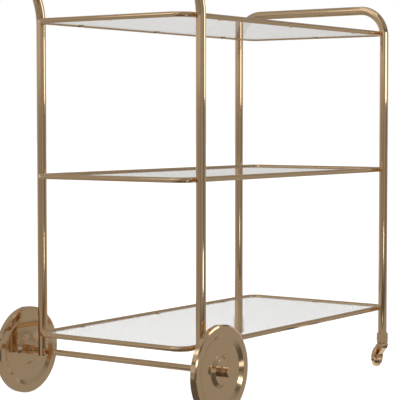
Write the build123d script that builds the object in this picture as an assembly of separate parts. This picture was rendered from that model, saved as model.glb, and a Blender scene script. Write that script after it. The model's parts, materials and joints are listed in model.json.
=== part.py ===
from build123d import *
from math import cos, radians, sin, tan
import os

# Bar cart: two bent-tube end frames, three rail loops with glass shelves, a cross axle with two
# big disc wheels at the push end (-X), and two swivel casters at the other end (+X).
# Millimetres, +Z up, floor at z = 0, origin at the centre of the footprint.

# --- driving dimensions ---------------------------------------------------------------------
LEG_SPAN_X = 828.0          # leg centre to leg centre, along the cart
LEG_SPAN_Y = 452.0          # leg centre to leg centre, across the cart
LEG_R = 11.0                # leg tube, outside
LEG_WALL = 1.5

RAIL_R = 6.0                # shelf rail, round bar
RAIL_HEIGHTS = {"bottom": 147.5, "middle": 512.0, "top": 866.5}
RAIL_OVERHANG = 41.0        # rail centreline beyond the leg centres, along X
RAIL_GAP = 0.3              # brazing gap between leg and rail
RAIL_CORNER_R = 30.0

GLASS_T = 5.0
GLASS_TOP = 1.5             # glass top above the rail centre
GLASS_EDGE_GAP = 1.0
GLASS_CHAMFER = 0.5
PAD_T = 1.0
PAD_R = 3.0
TAB_T = 1.5
TAB_WIDTH = 9.0
TAB_START = 2.5             # from the rail centreline, inward
TAB_END = 15.0
TAB_CORNER_R = 3.0
TAB_XS = (-300.0, 0.0, 300.0)
BRAZE_R = 5.0

PUSH_LEG_BOTTOM = 91.0
PUSH_BEND_START = 860.0
PUSH_BEND_R = 140.0
PUSH_BEND_DEG = 60.0
HANDLE_CORNER_R = 70.0
HANDLE_STRAIGHT = 2.0       # between the push handle's corner and its bend
CASTER_FRAME_TOP = 927.0    # centre of the caster-end handle

WHEEL_R = 101.5
AXLE_R = 7.0
AXLE_END = 71.0             # outboard of the leg centre
FERRULE_R = 8.0
FERRULE_HALF = 11.5
PLUG_T = 1.8
BUSH_R = 10.0
RUNNING = 0.05              # radial clearance of a turning fit
BUSH_PROUD = 0.4
END_PLAY = 0.2
COLLAR_R = 11.0
COLLAR_NECK_R = 9.5
COLLAR_NECK = 1.5
COLLAR_START = 21.0
COLLAR_BEVEL = 1.0
NUT_END = 76.6
NUT_BEVEL = 1.5
GRUB_R = 2.0
GRUB_PLACE = 29.0           # outboard of the leg centre
GRUB_SUNK = 0.5

# big wheel: distances outboard of the leg centre, and radii
RIM_IN, RIM_OUT = 41.2, 57.0
WEB_IN, WEB_OUT = 46.8, 51.0
BOSS_IN, BOSS_OUT = 40.0, 57.8
BOSS_R = 28.0
BOSS_FOOT_R = 35.5          # where the boss meets the web
RING_R = 82.7               # inner radius of the flat face ring
RING_FOOT_R = 72.5          # where the rim's slope meets the web
RIM_BEVEL_R = 4.0
RIM_BEVEL_S = 2.2

# caster: local frame with the swivel axis at the origin and the wheel trailing to -X
SOCKET_R = 14.5
SOCKET_BOTTOM, SOCKET_TOP = 58.6, 85.0
SOCKET_FLOOR = 64.0
SOCKET_BEVEL = 1.5
STEM_R = 5.0
STEM_TOP = 100.0
STEM_BUSH_TOP = 96.0
STEM_HOLE_R = 6.0
RING_T = 1.2
RING_OUTER_R = 7.5
WASHER_T = 0.5
WASHER_R = 12.0
CROWN_TOP, CROWN_BOTTOM = 57.9, 54.0
CROWN_R = 12.0
TRAIL = 28.0
CASTER_R = 26.0
CASTER_TREAD_HALF = 3.75
CASTER_HUB_R = 6.5
CASTER_HUB_HALF = 4.5
CASTER_WEB_HALF = 2.2
CASTER_RING_R = 21.0
CASTER_COVE = 2.0
CASTER_BEVEL = 0.8
EYE_R = 8.0
ARM_IN_LOW, ARM_OUT_LOW = 4.8, 7.6
ARM_IN_TOP, ARM_OUT_TOP = 7.0, 11.5
ARM_BEND_Z = 32.0
PIN_R = 3.0
PIN_BUSH_R = 4.5
PIN_HEAD_R = 4.5
PIN_HEAD_T = 1.8

THROUGH = 1.0               # how far a cutter runs past the face it cuts

# --- worked out -----------------------------------------------------------------------------
BEND_TANGENT = PUSH_BEND_R * tan(radians(PUSH_BEND_DEG / 2))
SLOPE = BEND_TANGENT + HANDLE_CORNER_R + HANDLE_STRAIGHT      # bend vertex to crossbar
PUSH_REACH = SLOPE * sin(radians(PUSH_BEND_DEG))
BEND_VERTEX_Z = PUSH_BEND_START + BEND_TANGENT
CROSSBAR_Z = BEND_VERTEX_Z + SLOPE * cos(radians(PUSH_BEND_DEG))
X_SHIFT = (PUSH_REACH + LEG_R - RAIL_OVERHANG - RAIL_R) / 2    # centres the footprint on x = 0
X_PUSH = -LEG_SPAN_X / 2 + X_SHIFT
X_CASTER = LEG_SPAN_X / 2 + X_SHIFT
Y_LEG = LEG_SPAN_Y / 2
RAIL_HALF_X = LEG_SPAN_X / 2 + RAIL_OVERHANG
RAIL_HALF_Y = Y_LEG - LEG_R - RAIL_GAP - RAIL_R
GLASS_INSET = RAIL_R + GLASS_EDGE_GAP
GLASS_BOTTOM = GLASS_TOP - GLASS_T
PAD_BOTTOM = GLASS_BOTTOM - PAD_T
TAB_BOTTOM = PAD_BOTTOM - TAB_T
SIDES = {"left": 1, "right": -1}


def save(node, *solids):
    """Write one node: a single solid, or a group of separate ones."""
    shape = solids[0] if len(solids) == 1 else Compound(children=list(solids))
    export_step(shape, f"parts/{node}.step")


def rod(radius, start, end, axis="Z", at=(0, 0)):
    """Cylinder along Z at (x, y), or along Y at (x, z), between two coordinates."""
    mid = (start + end) / 2
    body = Cylinder(radius, abs(end - start))
    if axis == "Y":
        return Pos(at[0], mid, at[1]) * Rot(90, 0, 0) * body
    return Pos(at[0], at[1], mid) * body


def bent_bar(side, radii, radius):
    """Round bar up one side, across, and down the mirrored side, with tangent arcs at the corners."""
    points = side + [(x, -y, z) for x, y, z in reversed(side)]
    path = FilletPolyline(*points, radius=radii + radii[::-1])
    return sweep(Plane(origin=points[0], z_dir=(0, 0, 1)) * Circle(radius), path=path)


def push_bar(radius):
    """Two legs that lean outward at the top and join in the push handle."""
    x_bar = X_PUSH - PUSH_REACH
    side = [(X_PUSH, Y_LEG, PUSH_LEG_BOTTOM), (X_PUSH, Y_LEG, BEND_VERTEX_Z), (x_bar, Y_LEG, CROSSBAR_Z)]
    return bent_bar(side, [PUSH_BEND_R, HANDLE_CORNER_R], radius)


def caster_bar(radius):
    """Inverted U over the caster end; its crossbar is the second handle."""
    side = [(X_CASTER, Y_LEG, SOCKET_FLOOR), (X_CASTER, Y_LEG, CASTER_FRAME_TOP)]
    return bent_bar(side, [HANDLE_CORNER_R], radius)


def push_frame():
    across_legs = (-Y_LEG - 2 * LEG_R, Y_LEG + 2 * LEG_R)
    ferrule_holes = rod(FERRULE_R, *across_legs, "Y", (X_PUSH, WHEEL_R))
    return push_bar(LEG_R) - push_bar(LEG_R - LEG_WALL) - ferrule_holes


def caster_frame():
    return caster_bar(LEG_R) - caster_bar(LEG_R - LEG_WALL)


def rail_loop(height, legs):
    """Closed loop of round bar with four round corners, notched where a leg leans into it."""
    outline = RectangleRounded(2 * RAIL_HALF_X, 2 * RAIL_HALF_Y, RAIL_CORNER_R)
    path = Pos(X_SHIFT, 0, height) * outline.face().outer_wire()
    start = Plane(origin=path @ 0, z_dir=path % 0)
    return sweep(start * Circle(RAIL_R), path=path) - legs


def brazing(height, rail, legs):
    """Filler between each leg and the rail, on the inner side of the leg."""
    return [
        (rod(BRAZE_R, side * Y_LEG, side * RAIL_HALF_Y, "Y", (x, height)) - legs - rail).solid()
        for x in (X_PUSH, X_CASTER)
        for side in SIDES.values()
    ]


def tab_places():
    """Place and turn of each glass support: inward is the tab's +X."""
    long_sides = [(X_SHIFT + x, y * RAIL_HALF_Y, -90 * y) for x in TAB_XS for y in (-1, 1)]
    short_sides = [(X_SHIFT + x * RAIL_HALF_X, 0, 90 + 90 * x) for x in (-1, 1)]
    return long_sides + short_sides


def tabs(height, rail):
    made = []
    for x, y, turn in tab_places():
        tab = Pos((TAB_START + TAB_END) / 2, 0, TAB_BOTTOM + TAB_T / 2) * Box(
            TAB_END - TAB_START, TAB_WIDTH, TAB_T
        )
        tab = fillet(tab.edges().filter_by(Axis.Z).group_by(Axis.X)[-1], TAB_CORNER_R)
        made.append((Pos(x, y, height) * Rot(0, 0, turn) * tab - rail).solid())
    return made


def pads(height):
    centre = TAB_END - TAB_WIDTH / 2
    return [
        Pos(x, y, height) * Rot(0, 0, turn) * rod(PAD_R, PAD_BOTTOM, GLASS_BOTTOM, "Z", (centre, 0))
        for x, y, turn in tab_places()
    ]


def glass(height):
    """Flat pane that lies inside the rail loop, with polished edges."""
    pane = extrude(
        RectangleRounded(
            2 * (RAIL_HALF_X - GLASS_INSET),
            2 * (RAIL_HALF_Y - GLASS_INSET),
            RAIL_CORNER_R - GLASS_INSET,
        ),
        GLASS_T,
    )
    pane = chamfer(pane.faces().filter_by(Axis.Z).edges(), GLASS_CHAMFER)
    return Pos(X_SHIFT, 0, height + GLASS_BOTTOM) * pane


def turned(profile, side):
    """Turn a (radius, outboard distance) face about the axle, on one side of the cart."""
    solid = revolve(Plane.XY * profile, axis=Axis.Y)
    solid = Pos(X_PUSH, Y_LEG, WHEEL_R) * solid
    return solid if side > 0 else mirror(solid, about=Plane.XZ)


def ring_profile(inner, outer, start, end, bevel=0.0, neck=0.0):
    """Section of a ring on the axle: bevel at its far end, narrow neck at its near end."""
    toward = 1 if end > start else -1
    points = [(inner, start), (outer, start)]
    if neck:
        points = [(inner, start), (COLLAR_NECK_R, start), (COLLAR_NECK_R, start + toward * neck)]
        points.append((outer, start + toward * neck))
    if bevel:
        points += [(outer, end - toward * bevel), (outer - bevel, end)]
    else:
        points.append((outer, end))
    points.append((inner, end))
    return make_face(Polyline(*points, close=True))


def big_wheel_profile():
    """Bevelled rim, slopes down to the thin web, and a centre boss on both faces."""
    return make_face(
        Polyline(
            (BUSH_R, BOSS_OUT), (BOSS_R, BOSS_OUT), (BOSS_FOOT_R, WEB_OUT),
            (RING_FOOT_R, WEB_OUT), (RING_R, RIM_OUT), (WHEEL_R - RIM_BEVEL_R, RIM_OUT),
            (WHEEL_R, RIM_OUT - RIM_BEVEL_S), (WHEEL_R, RIM_IN + RIM_BEVEL_S),
            (WHEEL_R - RIM_BEVEL_R, RIM_IN), (RING_R, RIM_IN), (RING_FOOT_R, WEB_IN),
            (BOSS_FOOT_R, WEB_IN), (BOSS_R, BOSS_IN), (BUSH_R, BOSS_IN),
            close=True,
        )
    )


def wheel_set(name, side):
    """Everything on one end of the axle that is not shared: wheel and its bush."""
    bush = ring_profile(AXLE_R + RUNNING, BUSH_R, BOSS_IN - BUSH_PROUD, BOSS_OUT + BUSH_PROUD)
    save(f"wheel_{name}_disc", turned(big_wheel_profile(), side))
    save(f"wheel_{name}_bush", turned(bush, side))


def stop_collar(side):
    """Ring that keeps the wheel off the leg, with a radial hole for its grub screw."""
    inner_end = BOSS_IN - BUSH_PROUD - END_PLAY
    profile = ring_profile(AXLE_R, COLLAR_R, inner_end, COLLAR_START, COLLAR_BEVEL, COLLAR_NECK)
    return turned(profile, side) - grub_screw(side, COLLAR_R + THROUGH)


def grub_screw(side, reach=COLLAR_R - GRUB_SUNK):
    y = side * (Y_LEG + GRUB_PLACE)
    return rod(GRUB_R, WHEEL_R - reach, WHEEL_R - AXLE_R, "Z", (X_PUSH, y)) - axle()


def cap_nut(side):
    start = BOSS_OUT + BUSH_PROUD + END_PLAY
    nut = turned(ring_profile(0, COLLAR_R, start, NUT_END, NUT_BEVEL, COLLAR_NECK), side)
    return nut - axle()


def axle():
    return rod(AXLE_R, -Y_LEG - AXLE_END, Y_LEG + AXLE_END, "Y", (X_PUSH, WHEEL_R))


def ferrule(side):
    """Sleeve across the leg, around the axle."""
    ends = (side * (Y_LEG - FERRULE_HALF), side * (Y_LEG + FERRULE_HALF))
    return rod(FERRULE_R, *ends, "Y", (X_PUSH, WHEEL_R)) - axle()


def leg_plug(side):
    place = (X_PUSH, side * Y_LEG)
    return rod(LEG_R - LEG_WALL, PUSH_LEG_BOTTOM, PUSH_LEG_BOTTOM + PLUG_T, "Z", place)


def socket():
    """Cup on the leg's lower end, with a hole for the stem through its floor."""
    cup = chamfer(rod(SOCKET_R, SOCKET_BOTTOM, SOCKET_TOP).edges(), SOCKET_BEVEL)
    return cup - rod(LEG_R, SOCKET_FLOOR, SOCKET_TOP + THROUGH) - rod(STEM_HOLE_R, 0, SOCKET_TOP)


def stem_bush():
    bore = rod(STEM_R + RUNNING, 0, STEM_TOP)
    return rod(LEG_R - LEG_WALL, SOCKET_FLOOR, STEM_BUSH_TOP) - bore


def thrust_washer():
    return rod(WASHER_R, SOCKET_BOTTOM - WASHER_T, SOCKET_BOTTOM) - rod(STEM_HOLE_R, 0, SOCKET_TOP)


def fork():
    """Crown and two arms that taper down to the pin and splay apart upward."""
    crown = Pos(0, CROWN_BOTTOM) * Circle(CROWN_R)
    eye = Pos(-TRAIL, CASTER_R) * Circle(EYE_R)
    side_view = make_hull(crown.edges() + eye.edges())
    blank = extrude(Plane.XZ * side_view, ARM_OUT_TOP, both=True)
    outside = [(ARM_OUT_LOW, 0), (ARM_OUT_LOW, ARM_BEND_Z), (ARM_OUT_TOP, CROWN_BOTTOM)]
    outside.append((ARM_OUT_TOP, CROWN_TOP))
    slot = [(ARM_IN_LOW, 0), (ARM_IN_LOW, ARM_BEND_Z), (ARM_IN_TOP, CROWN_BOTTOM)]
    reach = TRAIL + CASTER_R
    pin_hole = rod(PIN_R, -reach, reach, "Y", (-TRAIL, CASTER_R))
    return (blank & across(outside, reach)) - across(slot, reach) - pin_hole - rod(STEM_R, 0, STEM_TOP)


def across(half_view, reach):
    """Prism along X from one half of a front view, mirrored about the middle plane."""
    points = half_view + [(-y, z) for y, z in reversed(half_view)]
    return extrude(Plane.YZ * make_face(Polyline(*points, close=True)), reach, both=True)


def stem():
    return rod(STEM_R, CROWN_BOTTOM, STEM_TOP)


def retaining_ring():
    start = STEM_BUSH_TOP + END_PLAY
    return rod(RING_OUTER_R, start, start + RING_T) - rod(STEM_R, 0, STEM_TOP)


def caster_pin():
    """Pin through both arms, with a flat head at each end."""
    centre = (-TRAIL, CASTER_R)
    pin = rod(PIN_R, -ARM_OUT_LOW, ARM_OUT_LOW, "Y", centre)
    heads = [
        rod(PIN_HEAD_R, side * ARM_OUT_LOW, side * (ARM_OUT_LOW + PIN_HEAD_T), "Y", centre)
        for side in (-1, 1)
    ]
    return pin + heads


def caster_wheel():
    """Small disc wheel like the big ones: rim, thin web and hub."""
    half = [
        (PIN_BUSH_R, CASTER_HUB_HALF), (CASTER_HUB_R, CASTER_HUB_HALF),
        (CASTER_HUB_R, CASTER_WEB_HALF), (CASTER_RING_R - CASTER_COVE, CASTER_WEB_HALF),
        (CASTER_RING_R, CASTER_TREAD_HALF), (CASTER_R - CASTER_BEVEL, CASTER_TREAD_HALF),
        (CASTER_R, CASTER_TREAD_HALF - CASTER_BEVEL),
    ]
    points = half + [(r, -s) for r, s in reversed(half)]
    wheel = revolve(Plane.XY * make_face(Polyline(*points, close=True)), axis=Axis.Y)
    return Pos(-TRAIL, 0, CASTER_R) * wheel


def caster_wheel_bush():
    centre = (-TRAIL, CASTER_R)
    bore = rod(PIN_R + RUNNING, -ARM_OUT_LOW, ARM_OUT_LOW, "Y", centre)
    return rod(PIN_BUSH_R, -CASTER_HUB_HALF, CASTER_HUB_HALF, "Y", centre) - bore


def main():
    os.makedirs("parts", exist_ok=True)
    save("push_frame", push_frame())
    save("caster_frame", caster_frame())
    legs = push_bar(LEG_R) + caster_bar(LEG_R)
    for shelf, height in RAIL_HEIGHTS.items():
        rail = rail_loop(height, legs)
        save(f"rail_{shelf}", rail)
        save(f"brazing_{shelf}", *brazing(height, rail, legs))
        save(f"glass_tabs_{shelf}", *tabs(height, rail))
        save(f"glass_pads_{shelf}", *pads(height))
        save(f"glass_{shelf}", glass(height))

    both = SIDES.values()
    save("axle", axle())
    save("axle_ferrules", *[ferrule(side) for side in both])
    save("leg_plugs", *[leg_plug(side) for side in both])
    save("stop_collars", *[stop_collar(side) for side in both])
    save("collar_screws", *[grub_screw(side) for side in both])
    save("cap_nuts", *[cap_nut(side) for side in both])
    for name, side in SIDES.items():
        wheel_set(name, side)

    stems = [Pos(X_CASTER, side * Y_LEG, 0) for side in both]
    save("caster_sockets", *[place * socket() for place in stems])
    save("stem_bushes", *[place * stem_bush() for place in stems])
    save("thrust_washers", *[place * thrust_washer() for place in stems])
    for name, upright in zip(SIDES, stems):
        save(f"caster_{name}_fork", upright * fork())
        save(f"caster_{name}_stem", upright * stem())
        save(f"caster_{name}_ring", upright * retaining_ring())
        save(f"caster_{name}_pin", upright * caster_pin())
        save(f"caster_{name}_wheel", upright * caster_wheel())
        save(f"caster_{name}_bush", upright * caster_wheel_bush())


main()
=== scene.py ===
import json
import math
import bmesh
import bpy
from mathutils import Matrix, Vector


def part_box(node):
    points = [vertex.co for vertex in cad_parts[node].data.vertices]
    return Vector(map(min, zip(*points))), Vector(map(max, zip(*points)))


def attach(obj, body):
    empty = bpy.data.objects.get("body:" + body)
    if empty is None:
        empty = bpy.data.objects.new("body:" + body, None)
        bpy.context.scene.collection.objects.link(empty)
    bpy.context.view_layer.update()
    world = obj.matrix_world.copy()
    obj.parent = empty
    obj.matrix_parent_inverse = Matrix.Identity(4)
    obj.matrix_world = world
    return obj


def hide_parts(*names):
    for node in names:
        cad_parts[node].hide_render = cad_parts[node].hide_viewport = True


# Bar cart: smooth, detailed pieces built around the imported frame. Sizes are in millimetres, and
# piece() turns them into metres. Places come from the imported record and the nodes' boxes.

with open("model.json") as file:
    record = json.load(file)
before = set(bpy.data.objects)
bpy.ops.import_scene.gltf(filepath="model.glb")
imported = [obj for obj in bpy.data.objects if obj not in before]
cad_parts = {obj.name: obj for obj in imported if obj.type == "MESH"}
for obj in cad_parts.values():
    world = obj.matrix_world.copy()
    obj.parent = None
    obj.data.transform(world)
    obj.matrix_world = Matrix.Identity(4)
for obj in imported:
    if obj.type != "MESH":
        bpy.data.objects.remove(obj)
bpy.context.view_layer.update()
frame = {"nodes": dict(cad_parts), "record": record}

MM = 0.001
SIDES = {"left": 1, "right": -1}
SHELVES = ("bottom", "middle", "top")
JOINTS = {joint["name"]: joint for joint in frame["record"]["behaviour"]["joints"]}


def joint_place(name):
    return Vector(JOINTS[name]["pos_m"]) / MM


def node_box(node):
    low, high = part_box(node)
    return low / MM, high / MM


# --- places ----------------------------------------------------------------------------------
HUB = joint_place("wheel_left_spin")
X_PUSH, AXLE_Z = HUB.x, HUB.z
SWIVEL = joint_place("caster_left_turn")
X_CASTER, Y_LEG = SWIVEL.x, SWIVEL.y
ROLLER = joint_place("caster_left_spin") - SWIVEL
TRAIL, ROLLER_Z = math.hypot(ROLLER.x, ROLLER.y), joint_place("caster_left_spin").z
CASTER_TURN = math.atan2(-ROLLER.y, -ROLLER.x)
SHELF_Z = {shelf: sum(corner.z for corner in node_box(f"rail_{shelf}")) / 2 for shelf in SHELVES}

# --- sizes -----------------------------------------------------------------------------------
LEG_R, LEG_WALL, LEG_EDGE = 11.0, 1.5, 0.35
BORE_R, BORE_EDGE, BORE_SEEN = LEG_R - LEG_WALL, 0.3, 2.0
RAIL_R, RAIL_CORNER_R = 6.0, 30.0
PUSH_BEND_R, PUSH_BEND = 140.0, math.radians(60)
HANDLE_CORNER_R = 70.0
GLASS_CORNER_R, GLASS_ROUND = 23.0, 0.9
AXLE_R, AXLE_BEVEL = 7.0, 0.8
WHEEL_R, WHEEL_RING_R, WHEEL_BOSS_R, WHEEL_BORE_R = 101.5, 82.7, 28.0, 10.0
WHEEL_RIM = (41.2, 57.0)        # outboard of the leg centre: inner and outer face
WHEEL_WEB = (46.8, 51.0)
WHEEL_BOSS = (40.0, 57.8)
BUSH_PROUD, RUNNING = 0.4, 0.05
WHEEL_RING_FOOT_R, WHEEL_BOSS_FOOT_R = 72.5, 35.5
RIM_BEVEL = (4.0, 2.2)          # along the radius, along the axle
COLLAR, COLLAR_BEVEL = (21.0, 39.4), 1.0
NUT, NUT_BEVEL, NUT_CORE_R = (58.4, 76.6), 1.5, 0.8
NUT_MARK_R, NUT_MARK_FLOOR_R, NUT_MARK = 1.4, 0.5, 0.7      # centre mark in the outer face
HUB_R, HUB_NECK_R, HUB_NECK = 11.0, 9.5, 1.5
GROOVE = ((0.0, 0.0), (0.25, 0.4), (0.6, 0.4), (0.85, 0.0))     # along the nut, depth
NUT_GROOVES = (3.0, 5.0, 7.0, 9.0)
GRUB_R, GRUB_PLACE, GRUB_SINK, GRUB_EDGE = 2.0, 29.0, 0.5, 0.2
GRUB_HOLE_R, GRUB_SOCKET, GRUB_SOCKET_DEPTH = GRUB_R + 0.05, 0.95, 1.2
FERRULE_BORE_R, FERRULE_END_R, FERRULE_R = AXLE_R + 0.02, 8.0, 9.0
FERRULE_HALF, FERRULE_SHOULDER = 11.5, (9.9, 10.9)
SOCKET_R, SOCKET_BEVEL, STEM_HOLE_R = 14.5, 1.5, 6.0
SOCKET_FLOOR, SOCKET_BORE_R = 64.0, LEG_R + 0.05
SOCKET_GROOVE = ((-5.0, 0.0), (-4.7, 0.35), (-4.3, 0.35), (-4.0, 0.0))      # from the top, depth
WASHER_R, WASHER = 12.0, (58.1, 58.6)
FORK_CROWN_R, FORK_CROWN = 12.0, (54.0, 57.9)
CROWN_CORNER_R, CROWN_EDGE, CROWN_SINK = 6.0, 0.8, 0.5
FORK_EYE_R, FORK_BEND_Z = 8.0, 32.0
ARM_LOW, ARM_TOP, ARM_CORNER_R = (4.8, 7.6), (7.0, 11.5), 1.1
PIN_HEAD_R, PIN_HEAD_T, PIN_R, PIN_TIP_R = 4.5, 1.8, 3.0, 0.4
PIN_DOME = ((0.0, 0.0), (0.0, 0.9), (0.5, 1.35), (1.6, 1.7))        # inset, height of the head
ROLLER_R, ROLLER_HALF, ROLLER_HUB, ROLLER_WEB = 26.0, 3.75, (6.5, 4.5), 2.2
ROLLER_RING_R, ROLLER_COVE_R, ROLLER_BEVEL = 21.0, 1.2, 0.8
SOFT = 0.35                     # edge rounding of turned parts
ARC_STEP = math.radians(3)


# --- shapes: each is (points, faces) ------------------------------------------------------------
def joined(shapes):
    points, faces = [], []
    for some_points, some_faces in shapes:
        base = len(points)
        points += some_points
        faces += [tuple(base + i for i in face) for face in some_faces]
    return points, faces


def moved(shape, matrix):
    return [matrix @ Vector(p) for p in shape[0]], shape[1]


def skin(rings, closed=False, caps=True):
    """Quads between rings of equal length, each ring a closed loop."""
    sides = len(rings[0])
    points = [p for ring in rings for p in ring]
    faces = []
    count = len(rings)
    for i in range(count if closed else count - 1):
        a, b = i * sides, (i + 1) % count * sides
        for j in range(sides):
            k = (j + 1) % sides
            faces.append((a + j, a + k, b + k, b + j))
    if caps and not closed:
        faces.append(tuple(range(sides - 1, -1, -1)))
        faces.append(tuple((count - 1) * sides + j for j in range(sides)))
    return points, faces


def arc(centre, radius, start, end, steps=8):
    """Points of a flat arc, angles in degrees."""
    angles = [math.radians(start + (end - start) * i / steps) for i in range(steps + 1)]
    return [(centre[0] + radius * math.cos(a), centre[1] + radius * math.sin(a)) for a in angles]


def softened(section, radius=SOFT, steps=3, sharp=math.radians(20)):
    """Closed flat outline with its sharp corners rounded."""
    made = []
    count = len(section)
    for i, corner in enumerate(section):
        here = Vector(corner)
        back, on = Vector(section[i - 1]) - here, Vector(section[(i + 1) % count]) - here
        if min(back.length, on.length) < 1e-6:
            continue
        if math.pi - back.angle(on) < sharp:
            made.append(tuple(here))
            continue
        cut = min(radius, 0.45 * back.length, 0.45 * on.length)
        first, last = here + back.normalized() * cut, here + on.normalized() * cut
        for j in range(steps + 1):
            t = j / steps
            made.append(tuple((1 - t) ** 2 * first + 2 * t * (1 - t) * here + t * t * last))
    return made


def lathe(section, sides=96):
    """Closed (radius, height) outline turned about local Z."""
    rings = []
    for j in range(sides):
        c, s = math.cos(2 * math.pi * j / sides), math.sin(2 * math.pi * j / sides)
        rings.append([(r * c, r * s, z) for r, z in section])
    return skin(rings, closed=True)


def turned_solid(profile, sides=96):
    """Solid of revolution: (radius, height) from the lower end's edge to the upper end's edge."""
    angles = [2 * math.pi * j / sides for j in range(sides)]
    rings = [[(r * math.cos(a), r * math.sin(a), z) for a in angles] for r, z in profile]
    return skin(rings)


def rounded_path(corners, radii, closed=False):
    """Straight runs joined by tangent arcs."""
    corners = [Vector(c) for c in corners]
    count = len(corners)
    made = [] if closed else [corners[0]]
    for i in range(count) if closed else range(1, count - 1):
        here, radius = corners[i], radii[i if closed else i - 1]
        back = (corners[i - 1] - here).normalized()
        on = (corners[(i + 1) % count] - here).normalized()
        turn = math.pi - back.angle(on)
        centre = here + (back + on).normalized() * radius / math.cos(turn / 2)
        first = here + back * radius * math.tan(turn / 2) - centre
        axis = back.cross(on).normalized() * -1
        steps = max(2, math.ceil(turn / ARC_STEP))
        for j in range(steps + 1):
            made.append(centre + Matrix.Rotation(turn * j / steps, 3, axis) @ first)
    return made if closed else made + [corners[-1]]


def bar(path, radius, sides=40, closed=False, tips=((), ())):
    """Round bar along a path. Each tip lists (setback, radius) rings from the full bar to its end."""
    count = len(path)
    tangents = []
    for i in range(count):
        before = path[i - 1] if closed or i else path[0]
        after = path[(i + 1) % count] if closed or i < count - 1 else path[-1]
        tangents.append((after - before).normalized())
    side = tangents[0].orthogonal().normalized()
    frames = []
    for i, tangent in enumerate(tangents):
        side = (side - tangent * side.dot(tangent)).normalized()
        frames.append((path[i], side.copy(), tangent.cross(side)))
    angles = [2 * math.pi * j / sides for j in range(sides)]

    def ring(centre, u, v, r):
        return [centre + (u * math.cos(a) + v * math.sin(a)) * r for a in angles]

    rings = [ring(*spot, radius) for spot in frames]
    if closed:
        return skin(rings, closed=True)
    for end, (tip, tangent) in enumerate(zip(tips, (tangents[0], -tangents[-1]))):
        if not tip:
            continue
        centre, u, v = frames[-end]
        made = [ring(centre + tangent * back, u, v, r) for back, r in tip]
        rings = rings[:-1] + made if end else made[::-1] + rings[1:]
    return skin(rings)


def rounded_rectangle(half_x, half_y, radius, steps=6):
    made = []
    for sx, sy, start in ((1, 1, 0), (-1, 1, 90), (-1, -1, 180), (1, -1, 270)):
        made += arc((sx * (half_x - radius), sy * (half_y - radius)), radius, start, start + 90, steps)
    return made


def slab(half_x, half_y, low, high, radius, edge, steps=12, edge_steps=4):
    """Flat plate with round corners and a round edge."""
    rings = []
    turns = [(low + edge, 180, 90, -1), (high - edge, 90, 0, 1)]
    for z, start, end, way in turns:
        for j in range(edge_steps + 1):
            a = math.radians(90 * j / edge_steps)
            inset = edge * (1 - (math.sin(a) if way < 0 else math.cos(a)))
            height = z + way * edge * (math.cos(a) if way < 0 else math.sin(a))
            outline = rounded_rectangle(half_x - inset, half_y - inset, radius - inset, steps)
            rings.append([(x, y, height) for x, y in outline])
    return skin(rings)


# --- materials ----------------------------------------------------------------------------------
class Nodes:
    """Short way to add and link nodes in one tree."""

    def __init__(self, tree):
        self.tree = tree

    def add(self, kind, inputs=None, **settings):
        node = self.tree.nodes.new(kind)
        for key, value in settings.items():
            setattr(node, key, value)
        for key, value in (inputs or {}).items():
            if isinstance(value, bpy.types.NodeSocket):
                self.tree.links.new(value, node.inputs[key])
            else:
                node.inputs[key].default_value = value
        return node

    def math(self, operation, a, b=0.0):
        return self.add("ShaderNodeMath", {0: a, 1: b}, operation=operation).outputs[0]

    def ranged(self, value, low, high, to_low, to_high, smooth=False):
        inputs = {"Value": value, "From Min": low, "From Max": high, "To Min": to_low, "To Max": to_high}
        kind = "SMOOTHSTEP" if smooth else "LINEAR"
        node = self.add("ShaderNodeMapRange", inputs, interpolation_type=kind)
        return node.outputs["Result"]

    def noise(self, vector, scale, detail=3.0, distortion=0.0):
        inputs = {"Vector": vector, "Scale": scale, "Detail": detail, "Distortion": distortion}
        return self.add("ShaderNodeTexNoise", inputs).outputs["Fac"]

    def mixed(self, factor, a, b):
        node = self.add("ShaderNodeMix", {"Factor": factor}, data_type="RGBA")
        for socket, value in ((6, a), (7, b)):
            if isinstance(value, bpy.types.NodeSocket):
                self.tree.links.new(value, node.inputs[socket])
            else:
                node.inputs[socket].default_value = (*value, 1.0)
        return node.outputs[2]


def new_material(name):
    material = bpy.data.materials.new(name)
    material.use_nodes = True
    tree = material.node_tree
    tree.nodes.clear()
    nodes = Nodes(tree)
    shader = nodes.add("ShaderNodeBsdfPrincipled")
    output = nodes.add("ShaderNodeOutputMaterial")
    tree.links.new(shader.outputs[0], output.inputs["Surface"])
    return material, nodes, shader


def link(nodes, shader, **sockets):
    for key, value in sockets.items():
        nodes.tree.links.new(value, shader.inputs[key.replace("_", " ")])


BRASS_LIGHT, BRASS_DEEP = (0.82, 0.59, 0.365), (0.77, 0.54, 0.325)


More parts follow.
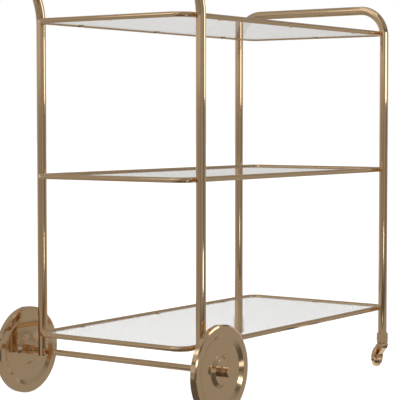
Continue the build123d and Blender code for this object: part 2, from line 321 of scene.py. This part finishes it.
def brass(name, polish=(0.05, 0.11), grain=0.012, rings_about=None):
    """Polished pale brass: soft tone changes, faint smears, hairline polishing marks."""
    material, nodes, shader = new_material(name)
    shader.inputs["Metallic"].default_value = 1.0
    place = nodes.add("ShaderNodeTexCoord").outputs["Object"]
    tone = nodes.noise(place, 14.0, 4.0, 0.4)
    smear = nodes.noise(place, 55.0, 5.0, 1.2)
    link(nodes, shader, Base_Color=nodes.mixed(tone, BRASS_DEEP, BRASS_LIGHT))
    rough = nodes.ranged(smear, 0.35, 0.7, *polish)
    marks = nodes.noise(place, 2600.0, 2.0)
    if rings_about is not None:
        offset = nodes.add("ShaderNodeVectorMath", {0: place, 1: rings_about}, operation="SUBTRACT")
        flat = nodes.add(
            "ShaderNodeVectorMath", {0: offset.outputs[0], 1: (1, 0, 1)}, operation="MULTIPLY"
        )
        reach = nodes.add("ShaderNodeVectorMath", {0: flat.outputs[0]}, operation="LENGTH")
        spread = nodes.add("ShaderNodeCombineXYZ", {"X": reach.outputs["Value"]})
        marks = nodes.noise(spread.outputs[0], 2400.0, 3.0)
        rough = nodes.math("ADD", rough, nodes.ranged(marks, 0.4, 0.7, 0.0, 0.03))
    link(nodes, shader, Roughness=rough)
    bump = nodes.add("ShaderNodeBump", {"Strength": grain, "Distance": 0.0004, "Height": marks})
    link(nodes, shader, Normal=bump.outputs[0])
    return material


def clear_glass():
    """Clear float glass: green-grey only through the edges, a breath of smear on the faces."""
    material, nodes, shader = new_material("clear_glass_look")
    shader.inputs["Transmission Weight"].default_value = 1.0
    shader.inputs["IOR"].default_value = 1.5
    place = nodes.add("ShaderNodeTexCoord").outputs["Object"]
    normal = nodes.add("ShaderNodeNewGeometry").outputs["True Normal"]
    upright = nodes.add("ShaderNodeSeparateXYZ", {0: normal}).outputs["Z"]
    face = nodes.ranged(nodes.math("ABSOLUTE", upright), 0.5, 0.95, 0.0, 1.0)
    link(nodes, shader, Base_Color=nodes.mixed(face, (0.80, 0.90, 0.87), (0.99, 0.995, 0.993)))
    smear = nodes.noise(place, 9.0, 4.0, 0.8)
    link(nodes, shader, Roughness=nodes.ranged(smear, 0.45, 0.8, 0.0, 0.03))
    return material


def moulded(name, low, high, rough=(0.35, 0.5), clear=0.0):
    """Moulded plastic, rubber or blackened steel with a fine skin."""
    material, nodes, shader = new_material(name)
    shader.inputs["Transmission Weight"].default_value = clear
    place = nodes.add("ShaderNodeTexCoord").outputs["Object"]
    skin_noise = nodes.noise(place, 900.0, 3.0)
    link(nodes, shader, Base_Color=nodes.mixed(nodes.noise(place, 60.0), low, high))
    link(nodes, shader, Roughness=nodes.ranged(skin_noise, 0.3, 0.7, *rough))
    bump = nodes.add("ShaderNodeBump", {"Strength": 0.1, "Distance": 0.0001, "Height": skin_noise})
    link(nodes, shader, Normal=bump.outputs[0])
    return material


WHEEL_CENTRE = tuple(value * MM for value in (X_PUSH, 0.0, AXLE_Z))
LOOKS = {
    "brass_tube": brass("brass_tube_look"),
    "brass": brass("brass_look", polish=(0.06, 0.12)),
    "brass_turned": brass("brass_turned_look", (0.08, 0.13), grain=0.02, rings_about=WHEEL_CENTRE),
    "clear_glass": clear_glass(),
    "clear_pad": moulded("clear_pad_look", (0.88, 0.88, 0.86), (0.94, 0.94, 0.93), (0.15, 0.3), 0.85),
    "bush_plastic": moulded("bush_plastic_look", (0.62, 0.60, 0.54), (0.70, 0.68, 0.62)),
    "black_plastic": moulded("black_plastic_look", (0.02, 0.02, 0.02), (0.05, 0.05, 0.05)),
    "dark_steel": moulded("dark_steel_look", (0.10, 0.10, 0.105), (0.17, 0.17, 0.18), (0.25, 0.4)),
}


def new_mesh(name, shape):
    """Mesh in metres from a shape in millimetres, with its faces turned outward."""
    mesh = bpy.data.meshes.new(name)
    mesh.from_pydata([Vector(p) * MM for p in shape[0]], [], shape[1])
    work = bmesh.new()
    work.from_mesh(mesh)
    bmesh.ops.recalc_face_normals(work, faces=work.faces)
    work.to_mesh(mesh)
    work.free()
    return mesh


def piece(name, shape, body, slot, *nodes, sharp=40.0):
    """One Blender object from a shape in millimetres, riding on a body for these CAD nodes."""
    mesh = new_mesh(name, shape)
    mesh.shade_smooth()
    mesh.set_sharp_from_angle(angle=math.radians(sharp))
    made = bpy.data.objects.new(name, mesh)
    bpy.context.collection.objects.link(made)
    made.data.materials.append(LOOKS[slot])
    shading = made.modifiers.new("flat_faces_first", "WEIGHTED_NORMAL")
    shading.keep_sharp, shading.weight = True, 100
    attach(made, body)
    if nodes:
        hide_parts(*nodes)
    return made


# --- frames and rails ---------------------------------------------------------------------------
def mirrored_run(side):
    return side + [(x, -y, z) for x, y, z in reversed(side)]


# tube ends: (distance from the end, radius)
CLOSED_END = [(LEG_EDGE, LEG_R), (0.0, LEG_R - LEG_EDGE)]
OPEN_END = CLOSED_END + [(0.0, BORE_R + BORE_EDGE), (BORE_EDGE, BORE_R), (BORE_SEEN, BORE_R)]


def push_frame():
    low, high = node_box("push_frame")
    x_bar, z_bar = low.x + LEG_R, high.z - LEG_R
    vertex = z_bar - (X_PUSH - x_bar) / math.tan(PUSH_BEND)
    side = [(X_PUSH, Y_LEG, low.z), (X_PUSH, Y_LEG, vertex), (x_bar, Y_LEG, z_bar)]
    radii = [PUSH_BEND_R, HANDLE_CORNER_R]
    path = rounded_path(mirrored_run(side), radii + radii[::-1])
    return bar(path, LEG_R, 64, tips=(OPEN_END, OPEN_END))


def caster_frame():
    low, high = node_box("caster_frame")
    side = [(X_CASTER, Y_LEG, low.z), (X_CASTER, Y_LEG, high.z - LEG_R)]
    path = rounded_path(mirrored_run(side), [HANDLE_CORNER_R] * 2)
    return bar(path, LEG_R, 64, tips=(CLOSED_END, CLOSED_END))


def rail_centre(shelf):
    """Lowest x, highest x and highest y of the rail's centreline."""
    low, high = node_box(f"rail_{shelf}")
    return low.x + RAIL_R, high.x - RAIL_R, high.y - RAIL_R


def rail(shelf):
    x_low, x_high, y = rail_centre(shelf)
    z = SHELF_Z[shelf]
    corners = [(x_low, y, z), (x_high, y, z), (x_high, -y, z), (x_low, -y, z)]
    return bar(rounded_path(corners, [RAIL_CORNER_R] * 4, closed=True), RAIL_R, 40, closed=True)


# braze between rail and leg: (radius, distance inward of the leg centre)
BRAZE = [
    (5.5, 15.8), (5.2, 13.6), (4.95, 12.2), (4.9, 11.3), (5.1, 10.5), (5.7, 9.7), (6.5, 9.0), (7.6, 8.2),
]


def brazing(shelf):
    spool = turned_solid([(r, -s) for r, s in BRAZE], 40)
    made = []
    for x in (X_PUSH, X_CASTER):
        for side in SIDES.values():
            facing = Matrix.Rotation(math.radians(-90 * side), 4, "X")
            made.append(moved(spool, Matrix.Translation((x, side * Y_LEG, SHELF_Z[shelf])) @ facing))
    return joined(made)


for frame_node, shape in (("push_frame", push_frame()), ("caster_frame", caster_frame())):
    piece(f"{frame_node}_tube", shape, "cart_frame", "brass_tube", frame_node)


# --- shelves ------------------------------------------------------------------------------------
TAB_T, TAB_HALF_W, TAB_SPAN, TAB_ROUND, TAB_EDGE = 1.5, 4.5, (2.5, 15.0), 3.0, 0.25
TAB_REACH = 300.0               # from the middle tab of a long side to the outer ones
PAD_R, PAD_T, PAD_ROUND = 3.0, 1.0, 0.3


def tab_places(shelf):
    """Matrices of the glass supports on one rail, with +X inward."""
    x_low, x_high, y = rail_centre(shelf)
    base = node_box(f"glass_tabs_{shelf}")[0].z
    middle = (x_low + x_high) / 2
    spots = [(middle + x, s * y, -90 * s) for x in (-TAB_REACH, 0.0, TAB_REACH) for s in (-1, 1)]
    spots += [(x_low, 0.0, 0.0), (x_high, 0.0, 180.0)]
    return [
        Matrix.Translation((x, y, base)) @ Matrix.Rotation(math.radians(turn), 4, "Z")
        for x, y, turn in spots
    ]


def tab_outline(inset):
    """Plan of one support: square at the rail, round at its free end."""
    start, end = TAB_SPAN[0] + inset, TAB_SPAN[1] - inset
    half, radius = TAB_HALF_W - inset, TAB_ROUND - inset
    free = arc((end - radius, half - radius), radius, 90, 0)
    return [(start, half)] + free + [(x, -y) for x, y in reversed(free)] + [(start, -half)]


def tab():
    levels = [(0.0, TAB_EDGE), (TAB_EDGE * 0.3, TAB_EDGE * 0.3), (TAB_EDGE, 0.0)]
    levels += [(TAB_T - z, inset) for z, inset in reversed(levels)]
    return skin([[(x, y, z) for x, y in tab_outline(inset)] for z, inset in levels])


def pad():
    inset = PAD_R - PAD_ROUND
    edge = arc((inset, PAD_ROUND), PAD_ROUND, -90, 0, 3)
    edge += arc((inset, PAD_T - PAD_ROUND), PAD_ROUND, 0, 90, 3)
    return moved(turned_solid(edge, 32), Matrix.Translation((TAB_SPAN[1] - TAB_HALF_W, 0, TAB_T)))


def pane(shelf):
    low, high = node_box(f"glass_{shelf}")
    middle = Matrix.Translation(((low.x + high.x) / 2, 0, 0))
    shape = slab((high.x - low.x) / 2, high.y, low.z, high.z, GLASS_CORNER_R, GLASS_ROUND)
    return moved(shape, middle)


for shelf in SHELVES:
    piece(f"rail_{shelf}_loop", rail(shelf), "cart_frame", "brass_tube", f"rail_{shelf}")
    piece(f"brazing_{shelf}_fillets", brazing(shelf), "cart_frame", "brass_tube", f"brazing_{shelf}")
    piece(f"glass_{shelf}_pane", pane(shelf), "cart_frame", "clear_glass", f"glass_{shelf}")
    places = tab_places(shelf)
    tabs = joined([moved(tab(), place) for place in places])
    pads = joined([moved(pad(), place) for place in places])
    piece(f"glass_tabs_{shelf}_plates", tabs, "cart_frame", "brass", f"glass_tabs_{shelf}")
    piece(f"glass_pads_{shelf}_discs", pads, "cart_frame", "clear_pad", f"glass_pads_{shelf}")


# --- wheels and axle ----------------------------------------------------------------------------
def on_axle(shape, side):
    """Local Z of a turned part becomes the outboard direction, from the leg centre."""
    facing = Matrix.Rotation(math.radians(-90 * side), 4, "X")
    return moved(shape, Matrix.Translation((X_PUSH, side * Y_LEG, AXLE_Z)) @ facing)


def both_sides(shape):
    return joined([on_axle(shape, side) for side in SIDES.values()])


def big_wheel():
    (rim_in, rim_out), (web_in, web_out), (boss_in, boss_out) = WHEEL_RIM, WHEEL_WEB, WHEEL_BOSS
    along, across = RIM_BEVEL
    section = [(WHEEL_BORE_R, boss_out), (WHEEL_BOSS_R, boss_out), (WHEEL_BOSS_FOOT_R, web_out)]
    section += [(WHEEL_RING_FOOT_R, web_out), (WHEEL_RING_R, rim_out)]
    section += [(WHEEL_R - along, rim_out), (WHEEL_R, rim_out - across)]
    section += [(WHEEL_R, rim_in + across), (WHEEL_R - along, rim_in)]
    section += [(WHEEL_RING_R, rim_in), (WHEEL_RING_FOOT_R, web_in)]
    section += [(WHEEL_BOSS_FOOT_R, web_in), (WHEEL_BOSS_R, boss_in), (WHEEL_BORE_R, boss_in)]
    return lathe(softened(section), 192)


def hub_ring(near, far, bore, bevel, grooves=()):
    """Collar or nut: narrow neck at the near end, bevel at the far end, fine turned grooves."""
    way = 1 if far > near else -1
    section = [(HUB_NECK_R, near), (HUB_NECK_R, near + way * HUB_NECK), (HUB_R, near + way * HUB_NECK)]
    for start in grooves:
        for step, depth in GROOVE:
            section.append((HUB_R - depth, near + way * (start + step)))
    section += [(HUB_R, far - way * bevel), (HUB_R - bevel, far)]
    return [(bore, near)] + section + [(bore, far)] if bore else section


def axle():
    reach = node_box("axle")[1].y
    profile = [(AXLE_R - AXLE_BEVEL, -reach), (AXLE_R, -reach + AXLE_BEVEL)]
    profile += [(AXLE_R, reach - AXLE_BEVEL), (AXLE_R - AXLE_BEVEL, reach)]
    facing = Matrix.Rotation(math.radians(-90), 4, "X")
    return moved(turned_solid(profile, 48), Matrix.Translation((X_PUSH, 0, AXLE_Z)) @ facing)


def grub_screw():
    """Set screw under the collar, with a hexagon socket."""
    head = HUB_R - GRUB_SINK
    count = 24
    circle = [2 * math.pi * j / count for j in range(count)]
    hexagon = [GRUB_SOCKET / math.cos((a + math.pi / 6) % (math.pi / 3) - math.pi / 6) for a in circle]
    levels = [(AXLE_R, None, GRUB_R), (head - GRUB_EDGE, None, GRUB_R)]
    levels += [(head, None, GRUB_R - GRUB_EDGE), (head, hexagon, 0)]
    levels.append((head - GRUB_SOCKET_DEPTH, hexagon, 0))
    rings = []
    for z, shape, radius in levels:
        reach = shape or [radius] * count
        rings.append([(r * math.cos(a), r * math.sin(a), -z) for r, a in zip(reach, circle)])
    return skin(rings)


def cut(target, cutter_shape):
    """Takes a shape out of a piece."""
    cutter = bpy.data.objects.new("cutter", new_mesh("cutter", cutter_shape))
    bpy.context.collection.objects.link(cutter)
    hole = target.modifiers.new("hole", "BOOLEAN")
    hole.operation, hole.object, hole.solver = "DIFFERENCE", cutter, "EXACT"
    seen = target.evaluated_get(bpy.context.evaluated_depsgraph_get())
    result = bpy.data.meshes.new_from_object(seen)
    target.modifiers.clear()
    target.data = result
    bpy.data.objects.remove(cutter)


piece("cross_axle", axle(), "cart_frame", "brass", "axle")
nut_profile = [(NUT_CORE_R, NUT[0])] + hub_ring(*NUT, 0, NUT_BEVEL, grooves=NUT_GROOVES)
nut_profile += [(NUT_MARK_R, NUT[1]), (NUT_MARK_FLOOR_R, NUT[1] - NUT_MARK)]
softened_nut = softened(nut_profile, 0.25)
piece("cap_nuts_turned", both_sides(turned_solid(softened_nut, 72)), "cart_frame", "brass", "cap_nuts")
collar_shape = lathe(softened(hub_ring(COLLAR[1], COLLAR[0], AXLE_R, COLLAR_BEVEL), 0.25), 72)
collars = piece("stop_collars_turned", both_sides(collar_shape), "cart_frame", "brass", "stop_collars")
collar_spots = [Matrix.Translation((X_PUSH, s * (Y_LEG + GRUB_PLACE), AXLE_Z)) for s in SIDES.values()]
# the hole starts outside the collar and stops short of its bore
grub_hole = turned_solid([(GRUB_HOLE_R, -HUB_R - 1), (GRUB_HOLE_R, -AXLE_R - 0.5)], 24)
cut(collars, joined([moved(grub_hole, spot) for spot in collar_spots]))
screws = joined([moved(grub_screw(), spot) for spot in collar_spots])
piece("collar_screws_socket", screws, "cart_frame", "dark_steel", "collar_screws")

ferrule_half = [(FERRULE_BORE_R, FERRULE_HALF), (FERRULE_END_R, FERRULE_HALF)]
ferrule_half += [(FERRULE_END_R, FERRULE_SHOULDER[1]), (FERRULE_R, FERRULE_SHOULDER[0])]
ferrule_section = ferrule_half + [(r, -z) for r, z in reversed(ferrule_half)]
ferrules = both_sides(lathe(softened(ferrule_section, 0.2), 48))
piece("axle_ferrules_brazed", ferrules, "cart_frame", "brass", "axle_ferrules")

for name, side in SIDES.items():
    disc, body = on_axle(big_wheel(), side), f"wheel_{name}"
    piece(f"wheel_{name}_turned", disc, body, "brass_turned", f"wheel_{name}_disc", sharp=50.0)
    bush_in, bush_out = WHEEL_BOSS[0] - BUSH_PROUD, WHEEL_BOSS[1] + BUSH_PROUD
    bush_section = [(AXLE_R + RUNNING, bush_in), (WHEEL_BORE_R, bush_in)]
    bush_section += [(WHEEL_BORE_R, bush_out), (AXLE_R + RUNNING, bush_out)]
    bush = on_axle(lathe(softened(bush_section, 0.15), 64), side)
    piece(f"wheel_{name}_liner", bush, body, "bush_plastic", f"wheel_{name}_bush")


# --- casters ------------------------------------------------------------------------------------
def leg_places():
    return [Matrix.Translation((X_CASTER, side * Y_LEG, 0)) for side in SIDES.values()]


def socket_cup():
    low, high = node_box("caster_sockets")
    bottom, top = low.z, high.z
    section = [(STEM_HOLE_R, bottom), (SOCKET_R - SOCKET_BEVEL, bottom)]
    section.append((SOCKET_R, bottom + SOCKET_BEVEL))
    for step, depth in SOCKET_GROOVE:
        section.append((SOCKET_R - depth, top + step))
    section += [(SOCKET_R, top - SOCKET_BEVEL), (SOCKET_R - SOCKET_BEVEL, top)]
    section += [(SOCKET_BORE_R, top), (SOCKET_BORE_R, SOCKET_FLOOR), (STEM_HOLE_R, SOCKET_FLOOR)]
    return lathe(softened(section, 0.5), 72)


def fork_span(z):
    """Lowest and highest x of the fork's side view at a height: eye, crown and all between."""
    steps = 80
    spans = []
    for i in range(steps + 1):
        t = i / steps
        x, level = -TRAIL * (1 - t), ROLLER_Z + (FORK_CROWN[0] - ROLLER_Z) * t
        radius = FORK_EYE_R + (FORK_CROWN_R - FORK_EYE_R) * t
        square = radius ** 2 - (z - level) ** 2
        if square > 0:
            spans += [x - math.sqrt(square), x + math.sqrt(square)]
    return (min(spans), max(spans)) if spans else None


def fork_arm(side):
    bottom, top = ROLLER_Z - FORK_EYE_R, FORK_CROWN[0] + 1.0
    levels = [bottom + FORK_EYE_R * (1 - math.cos(math.radians(a))) for a in range(8, 90, 7)]
    rise = 26
    levels += [ROLLER_Z + (top - ROLLER_Z) * i / rise for i in range(rise + 1)]
    rings = []
    for z in levels:
        x_low, x_high = fork_span(z)
        t = min(1.0, max(0.0, (z - FORK_BEND_Z) / (FORK_CROWN[0] - FORK_BEND_Z)))
        t = t * t * (3 - 2 * t) * 0.5 + t * 0.5      # half eased, half straight
        inner, outer = (low + (high - low) * t for low, high in zip(ARM_LOW, ARM_TOP))
        half_x, half_y = (x_high - x_low) / 2, (outer - inner) / 2
        outline = rounded_rectangle(half_x, half_y, min(half_x, half_y, ARM_CORNER_R) * 0.98, 5)
        centre = ((x_low + x_high) / 2, side * (inner + outer) / 2)
        rings.append([(centre[0] + x, centre[1] + y, z) for x, y in outline])
    return skin(rings)


def fork_crown():
    low, high = FORK_CROWN
    return slab(FORK_CROWN_R, ARM_TOP[1], low - CROWN_SINK, high, CROWN_CORNER_R, CROWN_EDGE, 8)


def pin_shape():
    """Pin along local Z with a shallow domed head on each side."""
    start = ARM_LOW[1]
    dome = [(PIN_R, start)] + [(PIN_HEAD_R - inset, start + out) for inset, out in PIN_DOME]
    dome.append((PIN_TIP_R, start + PIN_HEAD_T))
    return turned_solid([(r, -z) for r, z in reversed(dome)] + dome, 40)


def roller_shape():
    hub_r, hub_half = ROLLER_HUB
    half = [(PIN_HEAD_R, hub_half), (hub_r, hub_half)]
    half += arc((hub_r + ROLLER_COVE_R, ROLLER_WEB + ROLLER_COVE_R), ROLLER_COVE_R, 180, 270, 4)
    cove = ROLLER_HALF - ROLLER_WEB
    half += arc((ROLLER_RING_R - cove, ROLLER_HALF), cove, 270, 360, 5)
    half += [(ROLLER_R - ROLLER_BEVEL, ROLLER_HALF), (ROLLER_R, ROLLER_HALF - ROLLER_BEVEL)]
    return lathe(softened(half + [(r, -z) for r, z in reversed(half)], 0.3), 96)


washer_section = [(STEM_HOLE_R, WASHER[0]), (WASHER_R, WASHER[0])]
washer_section += [(WASHER_R, WASHER[1]), (STEM_HOLE_R, WASHER[1])]
washer = lathe(softened(washer_section, 0.1), 64)
sockets = joined([moved(socket_cup(), place) for place in leg_places()])
piece("caster_sockets_turned", sockets, "cart_frame", "brass", "caster_sockets")
washers = joined([moved(washer, place) for place in leg_places()])
piece("thrust_washers_flat", washers, "cart_frame", "bush_plastic", "thrust_washers")

for name, side in SIDES.items():
    place = Matrix.Translation((X_CASTER, side * Y_LEG, 0)) @ Matrix.Rotation(CASTER_TURN, 4, "Z")
    hub = place @ Matrix.Translation((-TRAIL, 0, ROLLER_Z)) @ Matrix.Rotation(math.radians(90), 4, "X")
    swivel, roller = f"caster_{name}_swivel", f"caster_{name}_roller"
    fork = joined([moved(part, place) for part in (fork_arm(1), fork_arm(-1), fork_crown())])
    piece(f"caster_{name}_arms", fork, swivel, "brass", f"caster_{name}_fork")
    piece(f"caster_{name}_rivet", moved(pin_shape(), hub), swivel, "brass", f"caster_{name}_pin")
    disc = moved(roller_shape(), hub)
    piece(f"caster_{name}_disc", disc, roller, "brass_turned", f"caster_{name}_wheel")

# --- CAD nodes that stay ------------------------------------------------------------------------
for subpart in frame["record"]["subparts"]:
    node = frame["nodes"][subpart["node"]]
    node.data.materials.clear()
    node.data.materials.append(LOOKS[subpart["material_slot"]])


# --- stage, light and camera --------------------------------------------------------------------
VIEW_YAW, VIEW_PITCH = math.radians(35.10), math.radians(-3.034)
CAMERA_AT = (-2.976, -2.058, 0.638)
LENS, SENSOR = 133.5, 36.0
FORWARD = Vector((math.cos(VIEW_YAW), math.sin(VIEW_YAW), 0))
RIGHT = Vector((math.sin(VIEW_YAW), -math.cos(VIEW_YAW), 0))
UP = Vector((0, 0, 1))


# brightness of the studio, by bearing in degrees from the camera's side: left is negative
FLOOR_FAR = [
    (-180, 0.72), (-140, 0.60), (-120, 0.52), (-104, 0.43), (-80, 0.31), (-60, 0.27), (-30, 0.30),
    (-8, 0.28), (-3, 0.19), (3, 0.19), (10, 0.35), (28, 0.35), (45, 0.27), (56, 0.23), (61, 0.14),
    (76, 0.14), (84, 0.29), (100, 0.31), (115, 0.36), (130, 0.46), (150, 0.60), (180, 0.72),
]
WALLS_LOW = [
    (-180, 0.72), (-130, 0.62), (-100, 0.52), (-62, 0.54), (-50, 0.44), (-38, 0.56), (-20, 0.58),
    (-7, 0.46), (-3, 0.20), (3, 0.20), (9, 0.40), (25, 0.40), (50, 0.30), (80, 0.32), (110, 0.40),
    (135, 0.56), (180, 0.72),
]
WALLS_HIGH = [
    (-180, 0.34), (-110, 0.40), (-90, 0.30), (-70, 0.62), (-12, 0.62), (0, 0.30), (30, 0.24),
    (60, 0.30), (110, 0.34), (150, 0.32), (180, 0.34),
]
WARMTH = (1.0, 0.985, 0.96)

# how steeply a reflection looks up, at the start and end of each change of tone
WALLS_FROM, HIGH_WALLS_FROM, CEILING_FROM = (0.0, 0.04), (0.24, 0.34), (0.84, 0.95)
SEAM_FROM, SEAM_TO, SEAM_SHARE = (0.26, 0.30), (0.37, 0.41), 0.8
SEAM_TONE, CEILING_TONE = (0.10, 0.097, 0.092), (0.12, 0.117, 0.112)

# the floor, in metres: white to the camera. Reflections see a plain tone, painted shade on the camera's
# side of a line except far to the left, then a painted lit patch, the far floor, and rings of painted
# shade and painted light under the casters
FLOOR_HALF, FLOOR_PAINT, FLOOR_GLOW = 30.0, 0.8, 0.86
FLOOR_TONE, SHADE_TONE = (0.35, 0.343, 0.33), (0.11, 0.106, 0.10)
SHADE_AXIS, SHADE_OFFSET, SHADE_EDGE, SHADE_SIDE = (0.866, 0.5, 0), 0.457, (-0.03, 0.06), (-0.6, -0.4)
LIT_PLACE, LIT_EDGE, LIT_TONE = (-0.33, -0.74, 0), (0.08, 0.10), (1.7, 1.68, 1.65)
FAR_EDGE = (1.6, 2.6)
# rings of painted shade and painted light on the floor around the casters, seen only in reflections
BANDS_X, BANDS_Y, BANDS_EDGE, BAND_WAVE = 0.44, 0.226, (0.18, 0.22), 62.0
BAND_BLEND, BAND_PAINTED_SHADE, BAND_PAINTED_LIGHT = (-0.3, 0.3), (0.07, 0.068, 0.064), (0.75, 0.74, 0.71)

# soft lights: name, place, facing, width, height, brightness
LAMPS = [
    ("softbox_right", (0.41, -1.06, 0.90), (0, 1, 0), 0.70, 0.40, 1.5),
    ("low_card", (-0.375, -1.18, 0.22), (0, 1, 0), 0.26, 0.11, 2.4),
    ("softbox_left", (-1.9, 0.9, 2.0), (1, -0.5, -0.6), 0.9, 0.7, 0.8),
    ("softbox_top", (0.0, 0.0, 2.8), (0, 0, -1), 2.4, 1.8, 0.45),
]


def seen_plainly(nodes):
    """1 for what is seen directly or through the glass, 0 for reflections and bounced light."""
    path = nodes.add("ShaderNodeLightPath")
    bounces = nodes.math("ADD", path.outputs["Glossy Depth"], path.outputs["Diffuse Depth"])
    return nodes.math("LESS_THAN", bounces, 0.5)


def along(nodes, vector, axis):
    node = nodes.add("ShaderNodeVectorMath", {0: vector, 1: axis}, operation="DOT_PRODUCT")
    return node.outputs["Value"]


def distance(nodes, vector, place):
    node = nodes.add("ShaderNodeVectorMath", {0: vector, 1: place}, operation="DISTANCE")
    return node.outputs["Value"]


def ring(nodes, vector, stops):
    """Brightness by bearing."""
    bearing = nodes.math("ARCTAN2", along(nodes, vector, RIGHT), along(nodes, vector, -FORWARD))
    turn = nodes.ranged(bearing, -math.pi, math.pi, 0.0, 1.0)
    node = nodes.add("ShaderNodeValToRGB", {"Fac": turn})
    elements = node.color_ramp.elements
    while len(elements) < len(stops):
        elements.new(0.5)
    for element, (degrees, value) in zip(elements, stops):
        element.position = (degrees + 180) / 360
        element.color = (*(value * share for share in WARMTH), 1.0)
    return node.outputs["Color"]


def set_world():
    """White to the camera, a made-up studio in reflections and bounced light."""
    world = bpy.data.worlds.new("studio")
    bpy.context.scene.world = world
    world.use_nodes = True
    world.node_tree.nodes.clear()
    nodes = Nodes(world.node_tree)
    toward = nodes.add("ShaderNodeTexCoord").outputs["Generated"]
    rise = along(nodes, toward, UP)
    above = nodes.ranged(rise, *WALLS_FROM, 0.0, 1.0, smooth=True)
    walls = nodes.mixed(above, ring(nodes, toward, FLOOR_FAR), ring(nodes, toward, WALLS_LOW))
    high = nodes.ranged(rise, *HIGH_WALLS_FROM, 0.0, 1.0, smooth=True)
    walls = nodes.mixed(high, walls, ring(nodes, toward, WALLS_HIGH))
    seam_low = nodes.ranged(rise, *SEAM_FROM, 0.0, 1.0, smooth=True)
    seam = nodes.math("SUBTRACT", seam_low, nodes.ranged(rise, *SEAM_TO, 0.0, 1.0, smooth=True))
    walls = nodes.mixed(nodes.math("MULTIPLY", seam, SEAM_SHARE), walls, SEAM_TONE)
    ceiling = nodes.ranged(rise, *CEILING_FROM, 0.0, 1.0, smooth=True)
    around = nodes.mixed(ceiling, walls, CEILING_TONE)
    colour = nodes.mixed(seen_plainly(nodes), around, (1.0, 1.0, 1.0))
    background = nodes.add("ShaderNodeBackground", {"Color": colour, "Strength": 1.0})
    output = nodes.add("ShaderNodeOutputWorld")
    nodes.tree.links.new(background.outputs[0], output.inputs["Surface"])


def set_floor():
    """Floor that looks plain white, and glows in its own tones for reflections and bounced light:
    painted shade, a painted lit patch and painted rings.
    """
    corners = [(x * FLOOR_HALF, y * FLOOR_HALF, 0) for x, y in ((-1, -1), (1, -1), (1, 1), (-1, 1))]
    mesh = bpy.data.meshes.new("floor")
    mesh.from_pydata(corners, [], [(0, 1, 2, 3)])
    floor = bpy.data.objects.new("floor", mesh)
    bpy.context.collection.objects.link(floor)
    material = bpy.data.materials.new("pale_floor")
    material.use_nodes = True
    material.node_tree.nodes.clear()
    nodes = Nodes(material.node_tree)
    paint = nodes.add("ShaderNodeBsdfDiffuse", {"Color": (*[FLOOR_PAINT] * 3, 1.0)})
    glow = nodes.add("ShaderNodeEmission", {"Color": (1.0, 1.0, 1.0, 1.0), "Strength": FLOOR_GLOW})
    plain = nodes.add("ShaderNodeAddShader", {0: paint.outputs[0], 1: glow.outputs[0]})
    place = nodes.add("ShaderNodeTexCoord").outputs["Object"]
    reach = nodes.add("ShaderNodeVectorMath", {0: place}, operation="LENGTH").outputs["Value"]
    # painted shade: a darker glowing tone on the camera's side of a line, except far to the left, seen
    # only in reflections
    ahead = nodes.math("ADD", along(nodes, place, SHADE_AXIS), SHADE_OFFSET)
    shade = nodes.ranged(ahead, *SHADE_EDGE, 1.0, 0.0, smooth=True)
    beside = nodes.ranged(along(nodes, place, RIGHT), *SHADE_SIDE, 0.0, 1.0, smooth=True)
    seen = nodes.mixed(nodes.math("MULTIPLY", shade, beside), FLOOR_TONE, SHADE_TONE)
    # painted light: a small floor patch glowing brighter than white, seen only in reflections
    spot = distance(nodes, place, LIT_PLACE)
    seen = nodes.mixed(nodes.ranged(spot, *LIT_EDGE, 1.0, 0.0, smooth=True), seen, LIT_TONE)
    far = nodes.ranged(reach, *FAR_EDGE, 0.0, 1.0, smooth=True)
    seen = nodes.mixed(far, seen, ring(nodes, place, FLOOR_FAR))
    # painted shade and painted light: glowing rings around each caster, seen only in reflections
    for side in (-1, 1):
        off = distance(nodes, place, (BANDS_X, side * BANDS_Y, 0))
        wave = nodes.math("SINE", nodes.math("MULTIPLY", off, BAND_WAVE))
        painted_bands = nodes.mixed(nodes.ranged(wave, *BAND_BLEND, 0.0, 1.0), BAND_PAINTED_SHADE, BAND_PAINTED_LIGHT)
        near = nodes.ranged(off, *BANDS_EDGE, 1.0, 0.0, smooth=True)
        seen = nodes.mixed(near, seen, painted_bands)
    mirrored = nodes.add("ShaderNodeEmission", {"Color": seen, "Strength": 1.0})
    shown = nodes.add(
        "ShaderNodeMixShader", {0: seen_plainly(nodes), 1: mirrored.outputs[0], 2: plain.outputs[0]}
    )
    output = nodes.add("ShaderNodeOutputMaterial")
    nodes.tree.links.new(shown.outputs[0], output.inputs["Surface"])
    mesh.materials.append(material)


def softbox(name, at, aim, width, tall, brightness):
    """Rectangular light at a place, facing along aim."""
    light = bpy.data.lights.new(name, "AREA")
    light.shape, light.size, light.size_y = "RECTANGLE", width, tall
    light.energy = 4 * width * tall * brightness
    lamp = bpy.data.objects.new(name, light)
    lamp.location = at
    lamp.rotation_mode = "QUATERNION"
    lamp.rotation_quaternion = Vector(aim).to_track_quat("-Z", "Y")
    bpy.context.collection.objects.link(lamp)
    lamp.visible_camera = lamp.visible_transmission = False


def set_camera():
    data = bpy.data.cameras.new("camera")
    data.lens, data.sensor_width = LENS, SENSOR
    camera = bpy.data.objects.new("camera", data)
    camera.location = CAMERA_AT
    aim = FORWARD * math.cos(VIEW_PITCH) + UP * math.sin(VIEW_PITCH)
    camera.rotation_mode = "QUATERNION"
    camera.rotation_quaternion = aim.to_track_quat("-Z", "Y")
    bpy.context.collection.objects.link(camera)
    bpy.context.scene.camera = camera


set_world()
set_floor()
for lamp_values in LAMPS:
    softbox(*lamp_values)
set_camera()
bpy.context.scene.view_settings.view_transform = "Standard"
